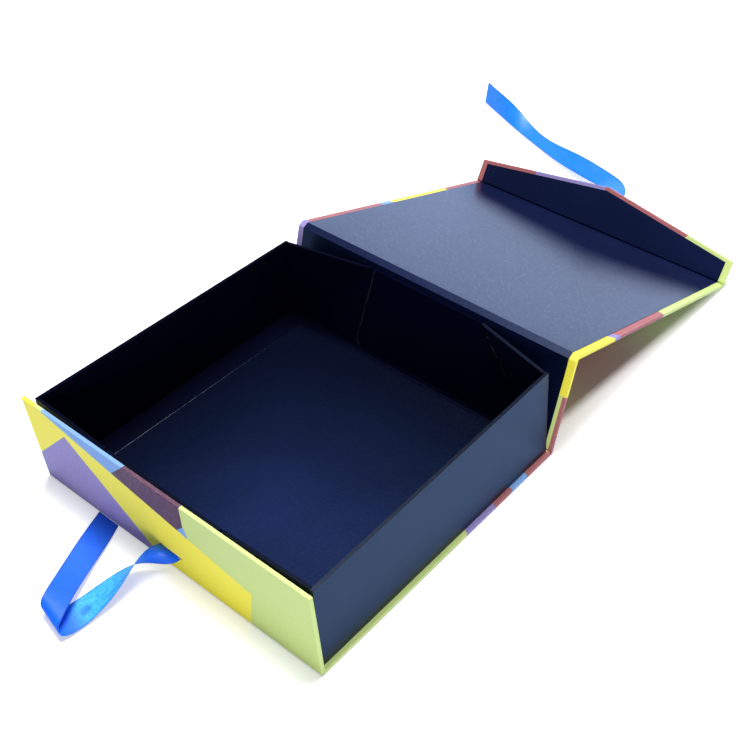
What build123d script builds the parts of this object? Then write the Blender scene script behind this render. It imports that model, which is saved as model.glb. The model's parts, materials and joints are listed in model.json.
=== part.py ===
from build123d import *
import math
import os

# Folding gift box: a book-style case of five boards, a navy tray and two satin ribbons.
# Millimetres, +Z up. The origin is the middle of the base panel's underside, +Y runs to the back
# and +X to the right as seen from the front. The box lies open: the spine leans back, the lid
# slopes down to the floor and the flap stands up at the lid's far edge.

os.makedirs("parts", exist_ok=True)

# Tray
tray_length = 200.0  # outside, left to right, at the floor
tray_depth = 189.5  # outside, front to back, at the floor
tray_height = 56.0  # from the base panel to the rim
tray_board = 2.0
left_lean = 0.75  # how far the left wall's rim leans in
right_front_lean = 2.2  # how far the right wall's rim leans in at the front
right_back_lean = 5.0  # and at the back
corner_lean = 1.6  # how far the front rim corners lean out
crease_gap = 1.6  # between two tray boards at a crease, measured along the rim
edge_round = 0.4  # soft edges of wrapped board

# Case
case_board = 2.3
case_overhang = 2.4  # past the tray at each end
front_lean_angle = 3.5  # how far the front panel leans out, in degrees
front_skew = 2.4  # how far the front panel's top stands to the left of its foot
spine_lean_angle = 13.6  # how far the spine leans back, in degrees
flap_fold_angle = 80.3  # from flat with the lid, in degrees
mitre_share = 1.15  # run of a mitred fold edge, as a share of the board
fold_clearance = 0.2  # between a mitre's tip and its fold line
joint_clearance = 0.35  # between pieces that pass each other
shut_clearance = 0.8  # between the shut flap and the front panel

# Flap
flap_end_height = 18.3
flap_peak_height = 33.4

# Lining
lining_thickness = 0.35
side_border = 4.5  # printed border left bare beside the lining
top_border = 2.6  # printed border left bare along the flap's top edges

# Ribbons
ribbon_width = 15.0
ribbon_thickness = 0.4
slit_length = 16.5
slit_height = 1.4
front_slit_height = 12.7  # slit's middle, up the front panel
flap_slit_drop = 9.0  # slit's middle, below the flap's peak
cut_overrun = 1.0
angle_tolerance = 0.001  # cosine below which two directions count as square

# Sizes that follow
case_width = tray_length + 2 * case_overhang
half_case = case_width / 2
half_tray = tray_length / 2
half_depth = tray_depth / 2
rim_height = case_board + tray_height
mitre_run = case_board * mitre_share
lining_run = fold_clearance + mitre_run * (case_board + lining_thickness) / case_board + joint_clearance
front_fold_y = -(half_depth + joint_clearance + case_board)
back_fold_y = half_depth + joint_clearance + lining_thickness + case_board
front_height = rim_height + joint_clearance
front_lean_run = front_height * math.sin(math.radians(front_lean_angle))
spine_height = front_height + 2 * joint_clearance + lining_thickness + case_board
lid_length = back_fold_y - front_fold_y + front_lean_run + shut_clearance + lining_thickness + case_board
spine_rise = spine_height * math.cos(math.radians(spine_lean_angle))
lid_slope_angle = math.degrees(math.asin(spine_rise / lid_length))
flap_angle = flap_fold_angle - lid_slope_angle


def panel_plane(origin, angle):
    """Side-view plane of a panel: its x runs up the panel, its y points to the panel's inside."""
    direction = (0, math.cos(math.radians(angle)), math.sin(math.radians(angle)))
    return Plane(origin=origin, x_dir=direction, z_dir=(1, 0, 0))


def face_plane(side_plane, height):
    """Plane of a panel's face: its x runs along the fold, its y up the panel."""
    raised = side_plane.origin + side_plane.y_dir * height
    return Plane(origin=raised, x_dir=side_plane.z_dir, z_dir=side_plane.y_dir)


base_plane = panel_plane((0, front_fold_y, 0), 0)
front_plane = Plane(
    origin=(0, front_fold_y, 0),
    x_dir=(0, -math.sin(math.radians(front_lean_angle)), math.cos(math.radians(front_lean_angle))),
    z_dir=(-1, 0, 0),
)
spine_plane = panel_plane((0, back_fold_y, 0), 90 - spine_lean_angle)
lid_plane = panel_plane(spine_plane.from_local_coords((spine_height, 0)), -lid_slope_angle)
flap_plane = panel_plane(lid_plane.from_local_coords((lid_length, 0)), flap_angle)


def mitred_board(length, start_fold, end_fold):
    """Side view of a case board, mitred where it folds and square where it ends."""
    start = (fold_clearance, 0) if start_fold else (0, 0)
    inner_start = (fold_clearance + mitre_run, case_board) if start_fold else (0, case_board)
    end = (length - fold_clearance, 0) if end_fold else (length, 0)
    inner_end = (length - fold_clearance - mitre_run, case_board) if end_fold else (length, case_board)
    Polyline(start, end, inner_end, inner_start, close=True)


def round_wrapped_edges(panel, side_plane):
    """Rounds the long edges of a board where its wrap turns over its ends and its free edges."""
    inward = side_plane.y_dir
    sides = panel.faces().filter_by(lambda face: abs(face.normal_at().dot(inward)) < angle_tolerance)
    rims = sides.edges().filter_by(lambda edge: abs((edge % 0).dot(inward)) < angle_tolerance)
    fillet(rims, edge_round)


# Base panel, under the tray
with BuildPart() as base_panel:
    with BuildSketch(base_plane):
        with BuildLine():
            mitred_board(back_fold_y - front_fold_y, True, True)
        make_face()
    extrude(amount=half_case, both=True)

# Front panel, leaning out and a little to the left, with the ribbon's slit near its foot
with BuildPart() as front_panel:
    with BuildSketch(front_plane):
        with BuildLine():
            mitred_board(front_height, True, False)
        make_face()
    extrude(amount=half_case + front_skew, both=True)
    with BuildSketch(face_plane(front_plane, 0)):
        with BuildLine():
            Polyline(
                (-half_case, 0),
                (half_case, 0),
                (half_case + front_skew, front_height),
                (front_skew - half_case, front_height),
                close=True,
            )
        make_face()
    extrude(amount=case_board, mode=Mode.INTERSECT)
    round_wrapped_edges(front_panel, front_plane)
    with BuildSketch(face_plane(front_plane, -cut_overrun)):
        with Locations((0, front_slit_height)):
            SlotOverall(slit_length, slit_height)
    extrude(amount=case_board + 2 * cut_overrun, mode=Mode.SUBTRACT)

# Spine panel, leaning back
with BuildPart() as spine_panel:
    with BuildSketch(spine_plane):
        with BuildLine():
            mitred_board(spine_height, True, True)
        make_face()
    extrude(amount=half_case, both=True)

# Lid panel, sloping down to the floor
with BuildPart() as lid_panel:
    with BuildSketch(lid_plane):
        with BuildLine():
            mitred_board(lid_length, True, True)
        make_face()
    extrude(amount=half_case, both=True)
    round_wrapped_edges(lid_panel, lid_plane)


def flap_outline(side_inset, top_inset, foot):
    """Five-sided outline of the flap, drawn in by a border at its ends and its top edges."""
    half_width = half_case - side_inset
    rise_share = (flap_peak_height - flap_end_height) / half_case
    end_height = flap_end_height + rise_share * side_inset - top_inset
    Polyline(
        (-half_width, foot),
        (half_width, foot),
        (half_width, end_height),
        (0, flap_peak_height - top_inset),
        (-half_width, end_height),
        close=True,
    )


# Flap panel, five-sided, with the ribbon's slit below its peak
with BuildPart() as flap_panel:
    with BuildSketch(flap_plane):
        with BuildLine():
            mitred_board(flap_peak_height, True, False)
        make_face()
    extrude(amount=half_case, both=True)
    with BuildSketch(face_plane(flap_plane, 0)):
        with BuildLine():
            flap_outline(0, 0, 0)
        make_face()
    extrude(amount=case_board, mode=Mode.INTERSECT)
    round_wrapped_edges(flap_panel, flap_plane)
    with BuildSketch(face_plane(flap_plane, -cut_overrun)):
        with Locations((0, flap_peak_height - flap_slit_drop)):
            SlotOverall(slit_length, slit_height)
    extrude(amount=case_board + 2 * cut_overrun, mode=Mode.SUBTRACT)

# Lining sheets, glued inside the spine, the lid and the flap
lining_width = case_width - 2 * side_border
spine_lining_foot = case_board + 2 * joint_clearance

with BuildPart() as spine_lining:
    with BuildSketch(face_plane(spine_plane, case_board)):
        with Locations((0, (spine_lining_foot + spine_height - lining_run) / 2)):
            Rectangle(lining_width, spine_height - lining_run - spine_lining_foot)
    extrude(amount=lining_thickness)

with BuildPart() as lid_lining:
    with BuildSketch(face_plane(lid_plane, case_board)):
        with Locations((0, lid_length / 2)):
            Rectangle(lining_width, lid_length - 2 * lining_run)
    extrude(amount=lining_thickness)

with BuildPart() as flap_lining:
    with BuildSketch(face_plane(flap_plane, case_board)):
        with BuildLine():
            flap_outline(side_border, top_border, lining_run)
        make_face()
    extrude(amount=lining_thickness)

# Tray floor, on the base panel and between the walls
inner_half = half_tray - tray_board
floor_depth = tray_depth - 2 * (tray_board + joint_clearance)

with BuildPart() as tray_floor:
    with BuildSketch(Plane.XY.offset(case_board)):
        Rectangle(2 * (inner_half - joint_clearance), floor_depth)
    extrude(amount=tray_board)


def wall_end_plane(end_y, end_lean):
    """Plane across a side wall's end, with its y up the end's leaning edge."""
    return Plane(origin=(0, end_y, case_board), x_dir=(1, 0, 0), z_dir=(0, -tray_height, end_lean))


def wall_end(side, rim_lean, end_lean):
    """End view of a side wall that leans in at its rim."""
    height = math.hypot(tray_height, end_lean)
    Polyline(
        (side * half_tray, 0),
        (side * (half_tray - rim_lean), height),
        (side * (inner_half - rim_lean), height),
        (side * inner_half, 0),
        close=True,
    )


walls = {}
for hand, side, front_rim_lean, back_rim_lean in (
    ("left", -1, left_lean, left_lean),
    ("right", 1, right_front_lean, right_back_lean),
):
    with BuildPart() as wall:
        with BuildSketch(wall_end_plane(-half_depth, -corner_lean)):
            with BuildLine():
                wall_end(side, front_rim_lean, corner_lean)
            make_face()
        with BuildSketch(wall_end_plane(half_depth, 0)):
            with BuildLine():
                wall_end(side, back_rim_lean, 0)
            make_face()
        loft()
    walls[f"tray_{hand}_wall"] = wall

# Middle boards of the front and back walls: wide at the floor, creased at 45 degrees to the rim
middle_foot = case_board + joint_clearance
middle_foot_half = inner_half - joint_clearance - crease_gap
middle_rim_half = middle_foot_half - (rim_height - middle_foot)


def middle_outline():
    """Trapezoid between the two creases of a front or back wall."""
    Polyline(
        (-middle_foot_half, middle_foot),
        (middle_foot_half, middle_foot),
        (middle_rim_half, rim_height),
        (-middle_rim_half, rim_height),
        close=True,
    )


with BuildPart() as tray_front_wall:
    with BuildSketch(face_plane(front_plane, case_board)):
        with BuildLine():
            middle_outline()
        make_face()
    extrude(amount=tray_board)

with BuildPart() as tray_back_wall:
    with BuildSketch(face_plane(spine_plane, case_board + lining_thickness)):
        with BuildLine():
            middle_outline()
        make_face()
    extrude(amount=tray_board)


def gusset_corners(side, rim_lean, foot_y, rim_y, middle_plane, middle_layer):
    """Foot, rim corner and crease head of a gusset, on its outer face."""
    foot = Vector(side * (inner_half - joint_clearance), foot_y, middle_foot)
    corner = Vector(side * (inner_half - joint_clearance - rim_lean), rim_y, rim_height)
    head = middle_plane.from_local_coords((rim_height, middle_layer + joint_clearance))
    return foot, corner, Vector(side * (middle_rim_half + crease_gap), head.Y, head.Z)


def gusset_plane(foot, corner, head):
    """Plane of a gusset's outer face, with its normal towards the tray's inside."""
    normal = (head - foot).cross(corner - foot)
    if normal.Y * foot.Y > 0:
        normal = normal * -1
    return Plane(origin=foot, x_dir=head - foot, z_dir=normal)


gussets = {}
rows = {
    "front": (-half_depth, -half_depth - corner_lean, front_plane, case_board),
    "back": (half_depth, half_depth, spine_plane, case_board + lining_thickness),
}
rim_leans = {
    "front": (("left", -1, left_lean), ("right", 1, right_front_lean)),
    "back": (("left", -1, left_lean), ("right", 1, right_back_lean)),
}
for row, (foot_y, rim_y, middle_plane, layer) in rows.items():
    for hand, side, rim_lean in rim_leans[row]:
        corners = gusset_corners(side, rim_lean, foot_y, rim_y, middle_plane, layer)
        plane = gusset_plane(*corners)
        with BuildPart() as gusset:
            with BuildSketch(plane):
                with BuildLine():
                    Polyline(*[plane.to_local_coords(corner) for corner in corners], close=True)
                make_face()
            extrude(amount=tray_board)
        gussets[f"{row}_{hand}_gusset"] = gusset

# Ribbons: each pair gives the ribbon's two edges at one station, measured from the fold line
# below its slit: to the right, to the back and up
flap_slit_height = flap_peak_height - flap_slit_drop
front_slit = front_plane.from_local_coords((front_slit_height, case_board / 2)) - front_plane.origin
flap_slit = flap_plane.from_local_coords((flap_slit_height, case_board / 2)) - flap_plane.origin
half_ribbon = ribbon_width / 2

front_ribbon_route = [
    ((-half_ribbon, front_slit.Y, front_slit.Z), (half_ribbon, front_slit.Y, front_slit.Z)),
    ((-7.6, -4.0, 14.6), (5.2, -3.6, 10.8)),
    ((-6.4, -10.4, 17.8), (-2.4, -8.6, 5.4)),
    ((-8.2, -17.6, 14.0), (-14.2, -14.0, 2.0)),
    ((-9.0, -26.6, 6.8), (-21.4, -24.2, 0.8)),
    ((-8.0, -40.6, 0.8), (-22.8, -39.4, 0.8)),
    ((-7.6, -54.6, 0.8), (-22.6, -53.8, 0.9)),
    ((-10.4, -64.4, 3.8), (-26.4, -64.4, 4.6)),
    ((-16.6, -59.8, 9.2), (-32.2, -61.2, 9.8)),
    ((-24.0, -45.0, 6.2), (-37.8, -51.0, 7.2)),
    ((-30.4, -29.8, 2.6), (-43.8, -36.6, 3.2)),
    ((-37.2, -14.4, 1.0), (-50.9, -20.0, 1.4)),
    ((-43.4, -0.9, 0.6), (-58.2, -0.9, 0.6)),
]

flap_ribbon_route = [
    ((-half_ribbon, flap_slit.Y, flap_slit.Z), (half_ribbon, flap_slit.Y, flap_slit.Z)),
    ((-8.2, 20.3, 18.2), (6.6, 21.3, 19.6)),
    ((-9.8, 28.8, 15.6), (3.2, 35.8, 18.6)),
    ((-14.0, 35.3, 13.2), (-6.5, 47.8, 16.2)),
    ((-22.0, 41.3, 10.0), (-19.5, 55.8, 13.6)),
    ((-33.0, 47.5, 6.4), (-32.0, 61.4, 12.0)),
    ((-51.8, 54.4, 4.0), (-52.7, 66.8, 12.2)),
    ((-71.9, 62.0, 2.4), (-74.3, 76.0, 7.0)),
    ((-93.8, 71.5, 1.4), (-97.1, 86.0, 2.4)),
    ((-111.6, 78.2, 1.3), (-112.2, 92.6, 3.0)),
    ((-134.7, 87.2, 1.4), (-132.9, 100.7, 6.8)),
    ((-154.8, 95.6, 1.9), (-151.6, 104.7, 12.6)),
    ((-168.4, 100.9, 2.0), (-171.0, 107.7, 15.4)),
]


def ribbon_surface(fold, route):
    """Ruled surface between the two edge curves of a ribbon."""
    left_points = [fold + Vector(*left) for left, right in route]
    right_points = [fold + Vector(*right) for left, right in route]
    return Face.make_surface_from_curves(Edge.make_spline(left_points), Edge.make_spline(right_points))


with BuildPart() as front_ribbon:
    thicken(ribbon_surface(front_plane.origin, front_ribbon_route), amount=ribbon_thickness / 2, both=True)

with BuildPart() as flap_ribbon:
    thicken(ribbon_surface(flap_plane.origin, flap_ribbon_route), amount=ribbon_thickness / 2, both=True)

pieces = {
    "base_panel": base_panel,
    "front_panel": front_panel,
    "spine_panel": spine_panel,
    "lid_panel": lid_panel,
    "flap_panel": flap_panel,
    "spine_lining": spine_lining,
    "lid_lining": lid_lining,
    "flap_lining": flap_lining,
    "tray_floor": tray_floor,
    **walls,
    "tray_front_wall": tray_front_wall,
    "tray_back_wall": tray_back_wall,
    **gussets,
    "front_ribbon": front_ribbon,
    "flap_ribbon": flap_ribbon,
}
for name, piece in pieces.items():
    piece.part.label = name
    export_step(piece.part, f"parts/{name}.step")
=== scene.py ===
import json
import math
import bpy
from mathutils import Matrix, Vector


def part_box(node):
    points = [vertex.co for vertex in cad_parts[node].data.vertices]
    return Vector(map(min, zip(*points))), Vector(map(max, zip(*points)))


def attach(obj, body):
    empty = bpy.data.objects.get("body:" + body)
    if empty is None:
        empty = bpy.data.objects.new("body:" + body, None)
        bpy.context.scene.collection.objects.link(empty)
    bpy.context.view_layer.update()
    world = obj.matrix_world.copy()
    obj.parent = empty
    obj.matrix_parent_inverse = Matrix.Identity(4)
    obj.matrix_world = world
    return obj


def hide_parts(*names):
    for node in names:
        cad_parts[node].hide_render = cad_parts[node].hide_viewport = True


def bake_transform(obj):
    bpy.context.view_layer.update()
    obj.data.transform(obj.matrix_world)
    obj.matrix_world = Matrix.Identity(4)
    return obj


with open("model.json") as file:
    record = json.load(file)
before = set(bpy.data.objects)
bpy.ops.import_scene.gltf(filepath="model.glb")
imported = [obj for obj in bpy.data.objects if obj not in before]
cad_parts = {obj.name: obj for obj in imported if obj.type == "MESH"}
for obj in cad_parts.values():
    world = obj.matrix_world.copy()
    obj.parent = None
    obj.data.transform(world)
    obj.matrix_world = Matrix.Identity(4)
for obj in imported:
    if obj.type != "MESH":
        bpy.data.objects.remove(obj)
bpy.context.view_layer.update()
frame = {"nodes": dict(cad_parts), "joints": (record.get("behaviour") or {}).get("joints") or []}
nodes = frame["nodes"]
mm = 0.001
black = [0, 0, 0, 1]
white = [1, 1, 1, 1]


def feed(tree, slot, value):  # links a wire to a socket, or sets a plain value on it
    if isinstance(value, Wire):
        tree.links.new(value.socket, slot)
    else:
        slot.default_value = value


class Wire:  # a shader value that sums, products and comparisons can be written with
    def __init__(self, tree, socket):
        self.tree = tree
        self.socket = socket

    def take(self, operation, *values):
        node = self.tree.nodes.new("ShaderNodeMath")
        node.operation = operation
        for slot, value in zip(node.inputs, values):
            feed(self.tree, slot, value)
        return Wire(self.tree, node.outputs[0])

    def __add__(self, other):
        return self.take("ADD", self, other)

    def __radd__(self, other):
        return self.take("ADD", other, self)

    def __sub__(self, other):
        return self.take("SUBTRACT", self, other)

    def __rsub__(self, other):
        return self.take("SUBTRACT", other, self)

    def __mul__(self, other):
        return self.take("MULTIPLY", self, other)

    def __truediv__(self, other):
        return self.take("DIVIDE", self, other)

    def __gt__(self, other):
        return self.take("GREATER_THAN", self, other)

    def __lt__(self, other):
        return self.take("LESS_THAN", self, other)

    def __abs__(self):
        return self.take("ABSOLUTE", self)

    def most(self, other):
        return self.take("MAXIMUM", self, other)


class NodeTree:  # a node tree and the one method that adds to it
    def __init__(self, tree):
        self.tree = tree

    def node(self, kind, settings=None, sockets=None):
        made = self.tree.nodes.new(kind)
        for key, value in (settings or {}).items():
            setattr(made, key, value)
        self.fill(made, sockets or {})
        return made

    def fill(self, node, sockets):
        for key, value in sockets.items():
            feed(self.tree, node.inputs[key], value)

    def wire(self, node, output=0):
        return Wire(self.tree, node.outputs[output])

    def ray(self, kind):  # 1 for rays of this kind, 0 for others
        return self.wire(self.node("ShaderNodeLightPath"), kind)


class Look(NodeTree):  # one material and the nodes it is made of
    def __init__(self, name):
        self.material = bpy.data.materials.new(name)
        self.material.use_nodes = True
        super().__init__(self.material.node_tree)
        self.shader = self.tree.nodes["Principled BSDF"]

    def place(self):
        found = self.node("ShaderNodeTexCoord")
        return self.wire(found, "Object")

    def across(self):
        found = self.node("ShaderNodeTexCoord")
        split = self.node("ShaderNodeSeparateXYZ", None, {0: self.wire(found, "UV")})
        return self.wire(split, 0), self.wire(split, 1)

    def axes(self):
        split = self.node("ShaderNodeSeparateXYZ", None, {0: self.place()})
        return self.wire(split, 0), self.wire(split, 1), self.wire(split, 2)

    def noise(self, scale, detail=2.0, roughness=0.5):
        made = self.node("ShaderNodeTexNoise", None, {
            "Vector": self.place(), "Scale": scale, "Detail": detail, "Roughness": roughness})
        return self.wire(made, 0)

    def ramp(self, value, low, high):
        made = self.node("ShaderNodeMapRange", {"interpolation_type": "SMOOTHSTEP"}, {
            "Value": value, "From Min": low, "From Max": high})
        return self.wire(made, 0)

    def blend(self, share, first, second):
        made = self.node("ShaderNodeMix", {"data_type": "RGBA"}, {0: share, 6: first, 7: second})
        return self.wire(made, 2)

    def bump(self, height, strength, distance):
        made = self.node("ShaderNodeBump", None, {
            "Height": height, "Strength": strength, "Distance": distance})
        self.finish({"Normal": self.wire(made, 0)})

    def finish(self, values):
        self.fill(self.shader, values)


def paint(red, green, blue):  # a screen colour of 0 to 255 as linear light
    shares = [value / 255 for value in (red, green, blue)]
    linear = [share / 12.92 if share < 0.0405 else ((share + 0.055) / 1.055) ** 2.4 for share in shares]
    return linear + [1.0]


def scaled(color, factor):  # a colour made darker or lighter
    return [value * factor for value in color[:3]] + [1]


def dress(name, look):  # gives a node of the frame its look
    nodes[name].data.materials.clear()
    nodes[name].data.materials.append(look)


# The case's folds and panels
case = {"board": 2.3 * mm, "lining": 0.35 * mm, "halfWidth": 102.4 * mm, "liningHalf": 97.9 * mm,
        "mitreRun": 3.3 * mm, "frontFold": -97.4 * mm, "frontLean": 3.5, "flapFold": 80.3}
pivots = {joint["name"]: Vector(joint["pos_m"]) for joint in frame["joints"]}
frontFold = Vector((0, case["frontFold"], 0))
spineFold = pivots["spine_hinge"]
lidFold = pivots["lid_hinge"]
flapFold = pivots["flap_hinge"]


def turned(direction, degrees):  # a direction in the side view, turned from +y towards +z
    return Matrix.Rotation(math.radians(degrees), 3, "X") @ direction


frontUp = turned(Vector((0, 0, 1)), case["frontLean"])
spineUp = (lidFold - spineFold).normalized()
lidOut = (flapFold - lidFold).normalized()
flapUp = turned(lidOut, case["flapFold"])
frontIn = turned(frontUp, -90)
spineIn = turned(spineUp, 90)
lidIn = turned(lidOut, 90)
flapIn = turned(flapUp, 90)
baseOut = Vector((0, 1, 0))
baseIn = Vector((0, 0, 1))
baseLength = spineFold.y - frontFold.y
spineLength = (lidFold - spineFold).length
lidLength = (flapFold - lidFold).length

# Print: flat fields of colour on the unfolded sheet in mm, x to the right, s from the front fold to the flap
lime = paint(196, 214, 132)
yellow = paint(240, 228, 66)
lavender = paint(143, 130, 187)
rust = paint(166, 96, 98)
plum = paint(92, 56, 76)
skyBlue = paint(122, 162, 220)
printFields = [
    (yellow, (-112, -62.2), (59.6, -27.7), (46.7, 50), (-112, 50)),
    (skyBlue, (-104, -62.0), (-36.5, -47.0), (-23.2, -61.0)),
    (plum, (-36.5, -47.0), (10.2, -37.6), (15.2, -41.8), (15.8, -61.0), (-23.2, -61.0)),
    (skyBlue, (9.8, -37.7), (17.7, -36.1), (15.6, -44.0)),
    (lavender, (-112, -8.5), (-72.4, -50.0), (66, 60), (-112, 90)),
    (yellow, (-112, 90), (66, 60), (-60, 215)),
    (lavender, (108, 110.4), (108, 136.8), (-60, 215)),
    (rust, (108, 136.8), (108, 153.3), (-60, 215)),
    (skyBlue, (108, 153.3), (108, 168.3), (-60, 215)),
    (rust, (108, 168.3), (108, 234.0), (-60, 215)),
    (yellow, (108, 234.0), (108, 302.7), (-60, 215)),
    (lavender, (-112, 110), (-60, 215), (-112, 275.2)),
    (lavender, (108, 302.7), (108, 309.4), (-60, 215)),
    (rust, (108, 309.4), (108, 362.2), (10, 390), (-60, 215)),
    (rust, (-112, 275.2), (-60, 215), (10, 390), (-112, 329.7)),
    (skyBlue, (-112, 329.7), (10, 390), (-112, 343.1)),
    (yellow, (-112, 343.1), (10, 390), (-112, 415.0)),
    (rust, (-112, 415.0), (10, 390), (-73.7, 505), (-112, 505)),
    (lavender, (10, 390), (-3.7, 505), (-73.7, 505)),
    (rust, (10, 390), (80.3, 505), (-3.7, 505)),
]
printPaper = {"fibre": 900, "cloud": 30, "fleck": paint(255, 255, 250), "fleckShare": 0.1, "bump": 0.05,
              "depth": 0.2 * mm, "rough": 0.42, "roughSpread": 0.2, "shine": 0.3}


def polygonMask(x, s, corners):
    area = sum(a[0] * b[1] - b[0] * a[1] for a, b in zip(corners, corners[1:] + corners[:1]))
    turn = math.copysign(1, area)
    mask = None
    for a, b in zip(corners, corners[1:] + corners[:1]):
        side = (s - a[1]) * (turn * (b[0] - a[0])) - (x - a[0]) * (turn * (b[1] - a[1])) > 0
        mask = side if mask is None else mask * side
    return mask


def printLook(panel):
    look = Look(panel["name"])
    x, y, z = look.axes()
    start, along = panel["fold"], panel["along"]
    run = (y - start.y) * (along.y / mm) + (z - start.z) * (along.z / mm)
    s = run * panel["sign"] + panel["start"]
    x = x / mm
    low, high = panel["span"]
    color = lime
    for field, *corners in printFields:
        reach = [corner[1] for corner in corners]
        if min(reach) < high and max(reach) > low:
            color = look.blend(polygonMask(x, s, corners), color, field)
    if "border" in panel:  # the printed sheet turned in over the board's inner face
        border = panel["border"]
        left, right = border["across"]
        depth = (y - start.y) * border["inward"].y + (z - start.z) * border["inward"].z
        inside = (depth > border["level"]) * (x > left) * (x < right) * (run < border["reach"])
        color = look.blend(inside, color, border["color"])
    fibre = look.noise(printPaper["fibre"], 4, 0.6)
    cloud = look.noise(printPaper["cloud"], 3)
    flecks = look.ramp(fibre, 0.45, 0.8) * printPaper["fleckShare"]
    look.bump(fibre + cloud, printPaper["bump"], printPaper["depth"])
    look.finish({"Base Color": look.blend(flecks, color, printPaper["fleck"]),
                 "Roughness": printPaper["rough"] + cloud * printPaper["roughSpread"],
                 "Specular IOR Level": printPaper["shine"]})
    return look.material


panels = {
    "front_panel": {"name": "printFront", "fold": frontFold, "along": frontUp, "sign": -1,
                    "start": 0, "span": (-62, 3)},
    "base_panel": {"name": "printBase", "fold": frontFold, "along": baseOut, "sign": 1,
                   "start": 0, "span": (-3, baseLength / mm + 3)},
    "spine_panel": {"name": "printSpine", "fold": spineFold, "along": spineUp, "sign": 1,
                    "start": baseLength / mm, "span": (190, 262),
                    "border": {"inward": spineIn, "level": case["board"] - 0.15 * mm, "across": (0, 100.3),
                               "reach": 38.3, "color": lime}},
    "lid_panel": {"name": "printLid", "fold": lidFold, "along": lidOut, "sign": 1,
                  "start": (baseLength + spineLength) / mm, "span": (250, 465)},
    "flap_panel": {"name": "printFlap", "fold": flapFold, "along": flapUp, "sign": 1,
                   "start": (baseLength + spineLength + lidLength) / mm, "span": (455, 500)},
}
printed = {}
for name, panel in panels.items():
    printed[name] = printLook(panel)
    dress(name, printed[name])
print("print done")

# Navy paper: each sheet has its own colour and grain; the spine's lining and the tray's inside faces use
# darker copies as painted shade, and pale lines mark wear and a painted highlight
navyPaper = {"crease": 520, "creaseShare": 0.6, "cloud": 14, "shades": (0.85, 1.18), "depth": 0.12 * mm,
             "roughSpread": 0.05, "tint": (0.55, 0.74, 1, 1)}
# pale lines: lines along the back creases, and a painted highlight along the liner's left edge
wearAndHighlightPaint = {"color": paint(186, 190, 206), "noise": 170, "gaps": (0.36, 0.56), "fade": 0.6}


def wearAndHighlightMask(look, across, along, start, end, width):  # a fine line on a face, broken up by noise
    reach = (end[0] - start[0], end[1] - start[1])
    length = math.hypot(*reach)
    off = abs((across - start[0]) * (reach[1] / length) - (along - start[1]) * (reach[0] / length))
    share = ((across - start[0]) * reach[0] + (along - start[1]) * reach[1]) / length ** 2
    broken = look.ramp(look.noise(wearAndHighlightPaint["noise"], 4, 0.7), *wearAndHighlightPaint["gaps"])
    return look.ramp(1 - off / width, 0, wearAndHighlightPaint["fade"]) * (share > 0) * (share < 1) * broken


def navyLook(name, paper):
    look = Look(name)
    x, y, z = look.axes()
    pebble = look.noise(paper["pebbles"], 1, 0.4)
    crease = look.noise(navyPaper["crease"], 5, 0.65)
    cloud = look.noise(navyPaper["cloud"], 3)
    dark, light = [scaled(paper["color"], factor) for factor in navyPaper["shades"]]
    shade = look.blend(look.ramp(cloud, 0.3, 0.75), dark, light)
    run = paper["along"]
    along = y * (run.y / mm) + z * (run.z / mm) - paper["fold"].dot(run) / mm
    if "dim" in paper:  # painted shade: deeper tone towards the left and back walls, where the walls shade the floor
        dim = paper["dim"]
        share = look.ramp(x / mm, *dim["across"]) * look.ramp(along, *dim["along"])
        shade = look.blend(share, scaled(paper["color"], dim["least"]), shade)
    for start, end, width, share in paper["wearAndHighlightLines"]:
        mark = wearAndHighlightMask(look, x / mm, along, start, end, width)
        shade = look.blend(mark * share, shade, wearAndHighlightPaint["color"])
    grain = pebble * paper["grain"] + crease * navyPaper["creaseShare"]
    look.bump(grain, paper["bump"], navyPaper["depth"])
    rough = paper["rough"] + look.ramp(crease, 0.3, 0.75) * navyPaper["roughSpread"]
    look.finish({"Base Color": shade, "Roughness": rough, "IOR": paper["index"],
                 "Specular Tint": navyPaper["tint"]})
    return look.material


liningPaper = {"color": (0.004, 0.0075, 0.04), "rough": 0.27, "grain": 0.35, "bump": 0.008, "pebbles": 1050,
               "index": 1.5, "along": baseOut, "fold": spineFold, "wearAndHighlightLines": []}
# the spine's lining: a darker copy of the lining paper, as painted shade
shadedSpinePaper = {**liningPaper, "color": (0.0016, 0.0035, 0.018), "index": 1.33}
trayPaper = {"color": (0.0012, 0.0018, 0.011), "rough": 0.3, "grain": 0.5, "bump": 0.15, "pebbles": 1050,
             "index": 1.46, "along": baseOut, "fold": spineFold, "wearAndHighlightLines": []}
# the tray's inside faces: a darker copy of the tray paper, as painted shade
shadedInnerPaper = {**trayPaper, "color": (0.0008, 0.0012, 0.008), "index": 1.2}
# the liner's pale line is a painted highlight along its left edge
linerPaper = {**trayPaper, "color": (0.0062, 0.0135, 0.058), "rough": 0.25, "grain": 1.0, "bump": 0.7,
              "pebbles": 900, "index": 1.22, "fold": Vector((0, 0, 0)),
              # painted shade: the liner darkens towards the left and back walls
              "dim": {"across": (-97, 23), "along": (95, -55), "least": 0.18},
              "wearAndHighlightLines": [((-83.0, -66.0), (-83.5, 87.2), 0.3, 0.18)]}
# the back wall: the darker inside colour as painted shade, with a pale line along its left crease and its
# hook
backPaper = {**shadedInnerPaper, "along": spineUp, "wearAndHighlightLines": [
    ((-37.5, 58.2), (-42.4, 8.5), 0.32, 0.06), ((-42.4, 8.5), (-37.8, 3.2), 0.32, 0.1)]}
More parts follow.
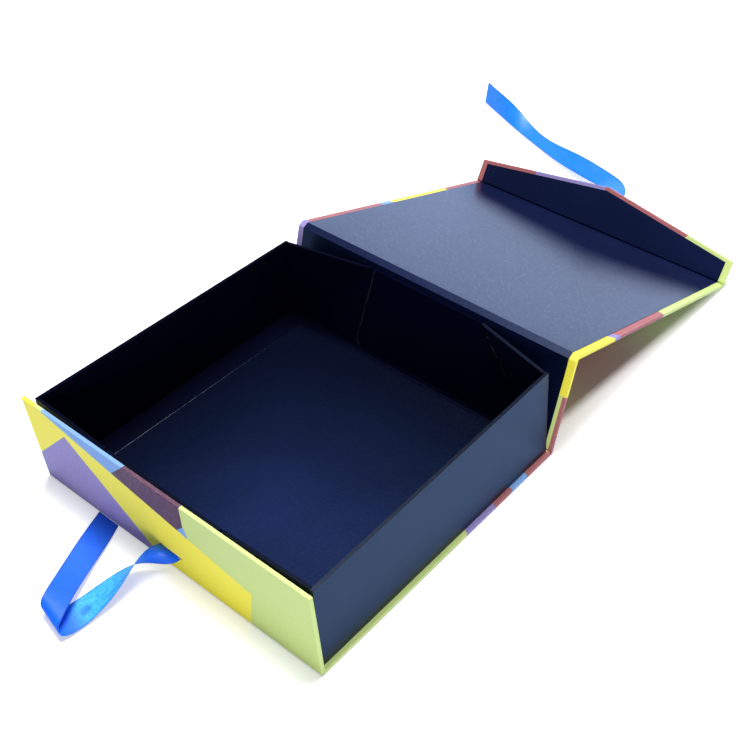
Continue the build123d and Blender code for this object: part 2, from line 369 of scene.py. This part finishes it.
# a worn line along the right crease
creasePaper = {**backPaper, "wearAndHighlightLines": [((46.9, 52.6), (71.8, 27.7), 0.45, 0.14)]}
liningLook = navyLook("navyLining", liningPaper)
shadedSpineLook = navyLook("navySpineShaded", shadedSpinePaper)
trayLook = navyLook("navyTray", trayPaper)
shadedInnerLook = navyLook("navyInnerShaded", shadedInnerPaper)
linerLook = navyLook("navyLiner", linerPaper)
backLook = navyLook("navyBack", backPaper)
creaseLook = navyLook("navyCrease", creasePaper)
dress("spine_lining", shadedSpineLook)
for name in ("lid_lining", "flap_lining"):
    dress(name, liningLook)
for name in ("tray_floor", "tray_front_wall", "tray_left_wall", "front_left_gusset", "front_right_gusset"):
    dress(name, shadedInnerLook)
dress("tray_right_wall", trayLook)
dress("tray_back_wall", backLook)
print("navy paper done")

sharpAngle = math.radians(40)


def makeStrip(name, rows, columns, levels, thickness, looks):  # a thin strip through pairs of edge points
    last = len(rows) - 1
    bpy.ops.mesh.primitive_grid_add(x_subdivisions=columns, y_subdivisions=last, size=1, location=(0, 0, 0))
    strip = bpy.context.object
    strip.name = name
    strip.data.name = name
    for vertex in strip.data.vertices:
        left, right = rows[round((vertex.co.y + 0.5) * last)]
        vertex.co = left.lerp(right, vertex.co.x + 0.5)
    if levels:
        smooth = strip.modifiers.new("smooth", "SUBSURF")
        smooth.levels = levels
        smooth.render_levels = levels
        smooth.boundary_smooth = "PRESERVE_CORNERS"
        bpy.ops.object.modifier_apply(modifier=smooth.name)
    for look in looks:
        strip.data.materials.append(look)
    thick = strip.modifiers.new("thick", "SOLIDIFY")
    thick.thickness = thickness
    thick.offset = 0
    thick.material_offset = len(looks) - 1
    thick.material_offset_rim = 0
    bpy.ops.object.modifier_apply(modifier=thick.name)
    bpy.ops.object.shade_smooth_by_angle(angle=sharpAngle)
    return strip


# Satin: woven threads, darker edges and a pale sheen painted into the colour where it turns away
satin = {"threads": 700.0, "streak": 220, "streakShade": 0.86, "mottle": 650, "mottleShare": 0.45,
         "rim": (0.44, 0.49), "rimShare": 0.75, "sheen": paint(120, 205, 255), "sheenShare": 0.18,
         "bump": 0.25, "depth": 0.15 * mm, "roughSpread": 0.12, "index": 1.45}


def satinLook(name, color, edge, rough, bend=None):
    look = Look(name)
    u, v = look.across()
    weave = look.node("ShaderNodeTexWave", {"bands_direction": "X"}, {
        "Vector": look.place(), "Scale": satin["threads"], "Distortion": 1.2, "Detail": 2.0})
    thread = look.wire(weave, "Fac")
    streak = look.noise(satin["streak"], 4, 0.6)
    body = look.blend(look.ramp(streak, 0.3, 0.75), scaled(color, satin["streakShade"]), color)
    if bend:  # this side is mottled and has painted shade towards one end (past the front ribbon's bend, at the flap ribbon's slit) and in small wrinkle spots
        mottle = look.ramp(look.noise(satin["mottle"], 3, 0.6), 0.42, 0.62)
        body = look.blend(mottle * satin["mottleShare"], body, bend["fleck"])
        dark = look.ramp(v, *bend["reach"])
        for middle, along, size, length, share in bend["wrinkleShades"]:
            offU = (u - middle) / size
            offV = (v - along) / length
            dark = dark.most(look.ramp(1 - (offU * offU + offV * offV), 0, 0.8) * share)
        body = look.blend(dark, body, bend["deep"])
    rim = look.ramp(abs(u - 0.5), *satin["rim"])
    # painted sheen: the colour turns paler where the ribbon faces away from the view
    facing = look.wire(look.node("ShaderNodeLayerWeight", None, {"Blend": 0.35}), "Facing")
    body = look.blend(look.ramp(facing, 0.35, 0.95) * satin["sheenShare"], body, satin["sheen"])
    look.bump(thread * 0.5 + streak * 0.4 + rim * 1.4, satin["bump"], satin["depth"])
    look.finish({"Base Color": look.blend(rim * satin["rimShare"], body, edge),
                 "Roughness": rough + streak * satin["roughSpread"], "IOR": satin["index"]})
    return look.material


satinDeep = satinLook("satinDeep", paint(12, 100, 242), paint(8, 52, 180), 0.34)
satinPale = satinLook("satinPale", paint(50, 162, 236), paint(22, 96, 215), 0.42, {
    "fleck": paint(96, 208, 246), "deep": paint(16, 104, 242), "reach": (0.46, 0.54), "wrinkleShades": [
        (0.45, 0.47, 0.2, 0.03, 0.7), (0.5, 0.14, 0.5, 0.06, 0.55), (0.2, 0.33, 0.1, 0.08, 0.4)]})
# the flap ribbon's painted shade sits at its slit end and in small wrinkle spots
satinMid = satinLook("satinMid", paint(28, 128, 236), paint(14, 82, 205), 0.36, {
    "fleck": paint(36, 138, 238), "deep": paint(14, 88, 222), "reach": (0.17, 0.03), "wrinkleShades": [
        (0.75, 0.17, 0.12, 0.05, 0.6), (0.3, 0.1, 0.1, 0.05, 0.5), (0.4, 0.42, 0.1, 0.03, 0.3)]})

# Ribbons: each row is the ribbon's two edges in mm, measured from the fold line below its slit
ribbonStock = {"width": 15 * mm, "thickness": 0.35 * mm, "columns": 4, "levels": 3}
frontRibbon = {**ribbonStock, "rows": [
    ((-7.5, 0.6, 12.75), (7.5, 0.6, 12.75)),
    ((-7.2, -2.6, 14.9), (6.0, -2.2, 10.0)),
    ((-6.2, -7.2, 18.0), (-0.5, -4.6, 5.6)),
    ((-5.6, -12.4, 19.2), (-7.6, -8.2, 5.0)),
    ((-5.2, -17.6, 17.8), (-12.2, -12.4, 5.0)),
    ((-4.9, -22.2, 15.0), (-15.2, -16.6, 4.2)),
    ((-4.6, -29.4, 10.0), (-17.6, -23.4, 3.2)),
    ((-4.4, -38.6, 5.2), (-18.9, -33.9, 2.6)),
    ((-5.0, -46.8, 2.0), (-20.2, -41.4, 1.4)),
    ((-5.2, -54.6, 0.9), (-21.0, -49.4, 0.9)),
    ((-5.9, -62.6, 1.4), (-22.6, -58.0, 1.4)),
    ((-7.4, -67.4, 4.2), (-25.6, -63.6, 4.6)),
    ((-9.4, -66.2, 8.2), (-28.2, -62.0, 8.8)),
    ((-13.7, -57.6, 9.0), (-30.4, -57.0, 9.8)),
    ((-20.8, -46.2, 6.6), (-35.6, -48.2, 7.4)),
    ((-27.2, -34.4, 4.0), (-42.4, -35.6, 5.2)),
    ((-32.8, -22.8, 2.2), (-49.4, -21.8, 3.4)),
    ((-38.2, -10.6, 1.2), (-54.6, -9.6, 2.0)),
    ((-43.2, -0.5, 0.6), (-58.8, -0.5, 0.7)),
]}
flapRibbon = {**ribbonStock, "rows": [
    ((-7.5, 10.1, 22.3), (7.5, 10.1, 22.3)),
    ((-6.8, 13.6, 23.4), (8.8, 13.8, 21.0)),
    ((-8.2, 17.0, 19.2), (8.2, 18.6, 23.0)),
    ((-8.4, 21.8, 19.4), (7.4, 24.2, 18.4)),
    ((-9.8, 28.8, 15.6), (3.2, 35.8, 18.6)),
    ((-14.0, 35.3, 13.2), (-6.5, 47.8, 16.2)),
    ((-22.0, 41.3, 10.0), (-19.5, 55.8, 13.6)),
    ((-33.0, 47.5, 6.4), (-32.0, 61.4, 12.0)),
    ((-51.8, 54.4, 4.0), (-52.7, 66.8, 12.2)),
    ((-71.9, 62.0, 2.0), (-74.3, 76.0, 6.8)),
    ((-93.8, 71.5, 1.0), (-97.1, 86.0, 1.8)),
    ((-113.6, 79.6, 0.9), (-116.2, 93.6, 3.0)),
    ((-130.6, 86.6, 0.9), (-132.6, 97.8, 11.0)),
    ((-146.0, 94.0, 1.0), (-148.4, 101.6, 15.0)),
    ((-158.6, 99.6, 1.0), (-161.6, 106.2, 15.8)),
    ((-172.4, 106.4, 1.0), (-175.1, 113.4, 15.4)),
]}


def makeRibbon(name, ribbon, fold, looks):
    rows = [(fold + Vector(left) * mm, fold + Vector(right) * mm) for left, right in ribbon["rows"]]
    middles = [(left + right) / 2 for left, right in rows]
    length = sum((b - a).length for a, b in zip(middles, middles[1:]))
    strip = makeStrip(name, rows, ribbon["columns"], ribbon["levels"], ribbon["thickness"], looks)
    print(name, "is", round(length / mm), "mm long")
    return strip, length


ribbonFront, frontLength = makeRibbon("ribbonFront", frontRibbon, frontFold, [satinPale, satinDeep])
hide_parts("front_ribbon")
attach(ribbonFront, "tray")
ribbonFlap, flapLength = makeRibbon("ribbonFlap", flapRibbon, flapFold, [satinMid, satinMid])
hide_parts("flap_ribbon")
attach(ribbonFlap, "flap")
print("ribbons done")

# Folds: strips of paper from one board to the next
foldSizes = {"leaf": 0.12 * mm, "columns": 8, "shares": (0, 0.1, 0.5, 0.9), "split": (0.45, 0.55),
             "reach": case["mitreRun"] + 0.6 * mm, "lap": 0.8 * mm, "margin": 0.2 * mm, "overlap": 0.3 * mm}


def foldBand(name, band):
    left, right = [Vector((edge, 0, 0)) for edge in band["span"]]
    profile = band["profile"]
    shares = (0,) if "split" in band else foldSizes["shares"]
    points = [low.lerp(high, share) for low, high in zip(profile, profile[1:]) for share in shares]
    rows = [(point + left, point + right) for point in points + profile[-1:]]
    thickness = band.get("thickness", foldSizes["leaf"])
    strip = makeStrip(name, rows, foldSizes["columns"], 0, thickness, [band["look"]])
    a, b = band["bodies"]
    if "split" in band:  # the fold turns past a half turn, so its two halves get their own looks and the strip stays in place, tied to no board
        start, end = [profile[1].lerp(profile[2], share) for share in band["split"]]
        strip.data.materials.append(band.get("firstLook", band["look"]))
        for face in strip.data.polygons:
            face.material_index = int((face.center - profile[1]).dot(end - start) < 0)
        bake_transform(strip)
        return
    soft = strip.modifiers.new("soft", "SMOOTH")
    soft.iterations = 1
    soft.use_x = False
    bpy.ops.object.modifier_apply(modifier=soft.name)
    if a == b:
        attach(strip, a)
    else:
        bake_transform(strip)


def foldProfile(turn, level, rise):  # side view of the paper in the hollow of a fold
    first = turn["fold"] + turn["firstIn"] * level
    last = turn["fold"] + turn["lastIn"] * level
    crest = turn["fold"] + (turn["firstIn"] + turn["lastIn"]).normalized() * rise
    far = foldSizes["reach"] + foldSizes["lap"]
    near = foldSizes["reach"] - foldSizes["lap"]
    return [first + turn["first"] * far, first + turn["first"] * near, crest,
            last + turn["last"] * near, last + turn["last"] * far]


def ridgeProfile(turn, level, past):  # side view of the paper as a flat bevel across a fold
    first = turn["fold"] + turn["firstIn"] * level
    last = turn["fold"] + turn["lastIn"] * level
    reach = foldSizes["reach"]
    return [first + turn["first"] * reach, first - turn["first"] * past, last - turn["last"] * past,
            last + turn["last"] * reach]


wide = (-case["halfWidth"] + foldSizes["margin"], case["halfWidth"] - foldSizes["margin"])
narrow = (-case["liningHalf"], case["liningHalf"])
leftEdge = (wide[0], narrow[0] + foldSizes["overlap"])
rightEdge = (narrow[1] - foldSizes["overlap"], wide[1])
spineTurn = {"fold": spineFold, "first": -baseOut, "firstIn": baseIn, "last": spineUp, "lastIn": spineIn}
lidTurn = {"fold": lidFold, "first": -spineUp, "firstIn": spineIn, "last": lidOut, "lastIn": lidIn}
flapTurn = {"fold": flapFold, "first": -lidOut, "firstIn": lidIn, "last": flapUp, "lastIn": flapIn}
boardLevel = case["board"] + 0.05 * mm
liningLevel = case["board"] + case["lining"] + 0.06 * mm
printBand = {"slot": "printed_paper", "span": wide}
liningBand = {"slot": "lining_paper", "span": narrow, "look": liningLook}
lidBand = {"bodies": ("spine", "lid"), "split": foldSizes["split"]}
flapBand = {"bodies": ("lid", "flap")}
foldBand("spineFoldPrint", {
    **printBand, "bodies": ("tray", "spine"), "look": printed["spine_panel"], "thickness": 2.1 * mm,
    "profile": foldProfile(spineTurn, level=1.15 * mm, rise=1.45 * mm)})
foldBand("lidFoldCore", {
    **printBand, **lidBand, "look": printed["lid_panel"], "thickness": 1.9 * mm,
    "profile": ridgeProfile(lidTurn, level=1.2 * mm, past=-0.6 * mm)})
foldBand("lidFoldPrint", {
    **printBand, **lidBand, "look": printed["lid_panel"],
    "profile": ridgeProfile(lidTurn, level=boardLevel, past=-0.25 * mm)})
foldBand("lidFoldLining", {
    **liningBand, **lidBand, "firstLook": shadedSpineLook,
    "profile": ridgeProfile(lidTurn, level=liningLevel, past=-0.25 * mm)})
for hand, edges in {"Left": leftEdge, "Right": rightEdge}.items():
    foldBand("flapFoldPrint" + hand, {
        **printBand, **flapBand, "span": edges, "look": printed["flap_panel"],
        "profile": foldProfile(flapTurn, level=boardLevel, rise=1.0 * mm)})
foldBand("flapFoldLining", {
    **liningBand, **flapBand, "profile": foldProfile(flapTurn, level=liningLevel, rise=1.4 * mm)})

# The tray's own folds, from its floor up the front and back walls
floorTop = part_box("tray_floor")[1]
trayBoards = {"board": 2.0 * mm, "half": 97.4 * mm, "clear": 0.06 * mm, "lap": 1.2 * mm, "sink": 0.1 * mm,
              "climb": 5}
backInner = case["board"] + case["lining"] + trayBoards["board"] + trayBoards["clear"]
frontInner = case["board"] + trayBoards["board"] + trayBoards["clear"]
frontWall = {"foot": (97.65, -94.75, 2.65), "head": (42.0, -98.31, 58.35), "fold": frontFold, "up": frontUp,
             "inward": frontIn, "level": frontInner, "body": "tray", "look": shadedInnerLook}
backWall = {"foot": (97.65, 94.75, 2.65), "head": (42.0, 108.54, 57.37), "fold": spineFold, "up": spineUp,
            "inward": spineIn, "level": backInner, "body": "spine", "look": shadedInnerLook}


def floorProfile(wall, end, past):  # side view of the paper from the tray's floor to a wall
    lapped = Vector((0, end * (floorTop.y - trayBoards["lap"]), floorTop.z + trayBoards["clear"]))
    corner = Vector((0, end * (floorTop.y + past), floorTop.z - trayBoards["sink"]))
    climbed = wall["fold"] + wall["up"] * trayBoards["climb"] * mm + wall["inward"] * wall["level"]
    return [lapped, corner, climbed]


floorBand = {"slot": "tray_paper", "span": (-trayBoards["half"], trayBoards["half"]), "look": shadedInnerLook}
foldBand("floorFoldBack", {
    **floorBand, "bodies": ("tray", "spine"), "profile": floorProfile(backWall, end=1, past=0.8 * mm)})
foldBand("floorFoldFront", {
    **floorBand, "bodies": ("tray", "tray"), "profile": floorProfile(frontWall, end=-1, past=0.6 * mm)})
print("folds done")

# Liner: grained sheet glued to the tray floor, its left edge clear of the wall
liner = {"front": -91.2 * mm, "backLeft": 87.3 * mm, "backRight": 91.6 * mm, "left": -83.2 * mm,
         "right": 97.2 * mm, "rise": 0.16 * mm, "thickness": 0.25 * mm, "columns": 6}
linerZ = floorTop.z + liner["rise"]
linerEnds = [(liner["front"], liner["front"]), (liner["backLeft"], liner["backRight"])]
linerRows = [(Vector((liner["left"], left, linerZ)), Vector((liner["right"], right, linerZ)))
             for left, right in linerEnds]
floorLiner = makeStrip("floorLiner", linerRows, liner["columns"], 0, liner["thickness"], [linerLook])
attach(floorLiner, "tray")
print("liner done")

# Back gussets: triangular boards that fold between the side walls and the spine, corners in mm
gussets = {
    "gussetBackLeft": {**backWall, "side": -1, "rim": (96.9, 94.75, 58.3), "node": "back_left_gusset"},
    "gussetBackRight": {**backWall, "side": 1, "rim": (92.65, 94.75, 58.3), "node": "back_right_gusset",
                        "look": trayLook},
}
gussetSizes = {"board": 2.0 * mm, "columns": 8, "shares": (0.01, 0.25, 0.5, 0.75, 1)}


def corners(face):  # a gusset's foot, rim and head on its own side
    return [Vector((face["side"] * x, y, z)) * mm for x, y, z in (face["foot"], face["rim"], face["head"])]


def directions(face):  # out of a gusset into the tray, and from its sloping crease to its rim
    foot, rim, head = corners(face)
    inward = (head - foot).cross(rim - foot).normalized()
    inward = inward if inward.dot(face["inward"]) > 0 else -inward
    slope = (head - foot).normalized()
    return inward, (rim - foot) - slope * (rim - foot).dot(slope)


for name, gusset in gussets.items():
    foot, rim, head = corners(gusset)
    inward, across = directions(gusset)
    shift = inward * (gussetSizes["board"] / 2)
    rows = [(foot.lerp(rim, share) + shift, foot.lerp(head, share) + shift)
            for share in gussetSizes["shares"]]
    strip = makeStrip(name, rows, gussetSizes["columns"], 0, gussetSizes["board"], [gusset["look"]])
    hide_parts(gusset["node"])
    rim - across
    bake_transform(strip)
print("gussets done")

# Creases: the tray's own paper runs over the sloping folds of the front and back walls
creases = {
    "creaseFrontLeft": {**frontWall, "side": -1, "rim": (96.9, -96.35, 58.3)},
    "creaseFrontRight": {**frontWall, "side": 1, "rim": (95.45, -96.35, 58.3)},
    "creaseBackLeft": gussets["gussetBackLeft"],
    "creaseBackRight": {**gussets["gussetBackRight"], "look": creaseLook},
}
creaseSizes = {"half": (96.05, 40.4), "run": (2.65, 58.3), "inset": 0.9, "overlap": 1.3 * mm,
               "rise": 0.08 * mm, "columns": 2, "shares": [0.08 + 0.0755 * step for step in range(13)]}


def partWay(ends, share):
    return ends[0] + (ends[1] - ends[0]) * share


for name, crease in creases.items():
    foot, rim, head = corners(crease)
    inward, across = directions(crease)
    lap = across.normalized() * creaseSizes["overlap"]
    rows = []
    for share in creaseSizes["shares"]:
        half = partWay(creaseSizes["half"], share) - creaseSizes["inset"]
        run = partWay(creaseSizes["run"], share) - creaseSizes["inset"]
        onBoard = crease["fold"] + crease["up"] * run * mm
        onBoard += crease["inward"] * (crease["level"] + creaseSizes["rise"])
        onGusset = foot.lerp(head, share) + inward * (gussetSizes["board"] + creaseSizes["rise"])
        rows.append((onBoard + Vector((crease["side"] * half * mm, 0, 0)), onGusset + lap))
    strip = makeStrip(name, rows, creaseSizes["columns"], 0, foldSizes["leaf"], [crease["look"]])
    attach(strip, crease["body"])
print("creases done")

# Stage: white floor and backdrop, soft light from above, camera at the photo's angle
floorStage = {"size": 8, "drop": 0.4 * mm, "rough": 0.9, "mirrored": [0.38, 0.58, 1, 1],
              "tones": ([0.94, 0.94, 0.94, 1], [0.96, 0.96, 0.96, 1])}
# painted shadow: a wedge under the lid's right edge gets no camera glow, its edge sloping along the lid
lidShade = {"right": (0.096, 0.087), "left": (-0.14, -0.1), "slope": 0.06, "slopeStart": 0.135,
            "middle": 0.2, "ends": (0.15, 0.11)}
floorGlow = {"near": 0.5, "far": 0.5, "farRange": (0.2, 0.8), "back": 0.2, "backRange": (0.08, 0.2)}
floorLook = Look("floor")
floorTone = floorLook.blend(floorLook.noise(3, 2), *floorStage["tones"])
floorX, floorY = floorLook.axes()[:2]
edge = floorX - (floorY - lidShade["slopeStart"]) * lidShade["slope"]
shaded = floorLook.ramp(edge, *lidShade["right"]) * floorLook.ramp(floorX, *lidShade["left"])
shaded = shaded * floorLook.ramp(abs(floorY - lidShade["middle"]), *lidShade["ends"])
distant = floorLook.ramp(floorX * floorX + floorY * floorY, *floorGlow["farRange"])
behind = floorLook.ramp(floorY, *floorGlow["backRange"])
glowStrength = floorGlow["near"] + distant * floorGlow["far"] + behind * floorGlow["back"]
cameraGlow = floorLook.ray("Is Camera Ray") * (1 - shaded) * glowStrength  # painted glow: the floor glows to the camera only, outside the painted shadow wedge
mirrored = floorLook.ray("Is Glossy Ray")
floorTone = floorLook.blend(mirrored, floorTone, floorStage["mirrored"])  # cool in reflections
floorLook.finish({"Base Color": floorTone, "Roughness": floorStage["rough"], "Emission Strength": 1,
                  "Emission Color": floorLook.blend(cameraGlow, black, white)})
bpy.ops.mesh.primitive_plane_add(size=floorStage["size"], location=(0, 0, -floorStage["drop"]))
floor = bpy.context.object
floor.name = "floor"
floor.data.materials.append(floorLook.material)

backdropStage = {"place": (0, 1.6, 0.2), "scale": (6, 0.4, 1), "rough": 0.9, "glow": [0.82, 1.1, 1.7, 1],
                 "tones": ([0.9, 0.92, 0.96, 1], [0.92, 0.94, 0.98, 1])}
backdropLook = Look("backdrop")
backdropTone = backdropLook.blend(backdropLook.noise(2, 2), *backdropStage["tones"])
backdropGlow = backdropLook.blend(backdropLook.ray("Is Camera Ray"), backdropStage["glow"], white)
backdropLook.finish({"Base Color": backdropTone, "Roughness": backdropStage["rough"], "Emission Strength": 1,
                     "Emission Color": backdropGlow})
bpy.ops.mesh.primitive_plane_add(size=1, location=backdropStage["place"], rotation=(math.radians(90), 0, 0))
backdrop = bpy.context.object
backdrop.name = "backdrop"
backdrop.scale = backdropStage["scale"]
backdrop.data.materials.append(backdropLook.material)

# World: dim and cool as light, white to the camera
world = bpy.data.worlds.new("studio")
bpy.context.scene.world = world
world.use_nodes = True
sky = NodeTree(world.node_tree)
coolSky = sky.tree.nodes["Background"]
sky.fill(coolSky, {"Color": (0.7, 0.85, 1, 1), "Strength": 0.1})
whiteSky = sky.node("ShaderNodeBackground", None, {"Color": white, "Strength": 1})
skyMix = sky.node("ShaderNodeMixShader", None, {
    0: sky.ray("Is Camera Ray"), 1: sky.wire(coolSky), 2: sky.wire(whiteSky)})
sky.fill(sky.tree.nodes["World Output"], {"Surface": sky.wire(skyMix)})

lampAim = Vector((0, 0.08, 0))
lamps = {
    "key": {"place": Vector((-0.16, 0.3, 1.9)), "size": 0.8, "power": 58},
    "fill": {"place": Vector((0.95, -0.9, 0.26)), "size": 0.5, "power": 9.5, "spares": floor},
}
for name, lamp in lamps.items():
    bpy.ops.object.light_add(type="AREA", location=lamp["place"])
    light = bpy.context.object
    light.name = name
    light.data.size = lamp["size"]
    light.data.energy = lamp["power"]
    light.rotation_euler = (lamp["place"] - lampAim).to_track_quat("Z", "Y").to_euler()
    if "spares" in lamp:  # this lamp leaves the floor alone, so the shadow under the lid stays deep
        spared = bpy.data.collections.new(name + "Spares")
        spared.objects.link(lamp["spares"])
        spared.collection_objects[0].light_linking.link_state = "EXCLUDE"
        light.light_linking.receiver_collection = spared

cameraSight = {"place": Vector((326.2755, -328.0899, 467.0403)) * mm,
               "right": Vector((0.76522, 0.64376, 0.00424)), "up": Vector((-0.42459, 0.49973, 0.75498)),
               "lens": 55.737, "sensor": 36, "far": 20}
bpy.ops.object.camera_add(location=cameraSight["place"])
camera = bpy.context.object
right = cameraSight["right"].normalized()
up = cameraSight["up"].normalized()
back = right.cross(up).normalized()
camera.rotation_euler = Matrix((right, up, back)).transposed().to_euler()
camera.data.lens = cameraSight["lens"]
camera.data.sensor_width = cameraSight["sensor"]
camera.data.clip_end = cameraSight["far"]
bpy.context.scene.camera = camera
bpy.context.scene.view_settings.view_transform = "Standard"
print("stage done")
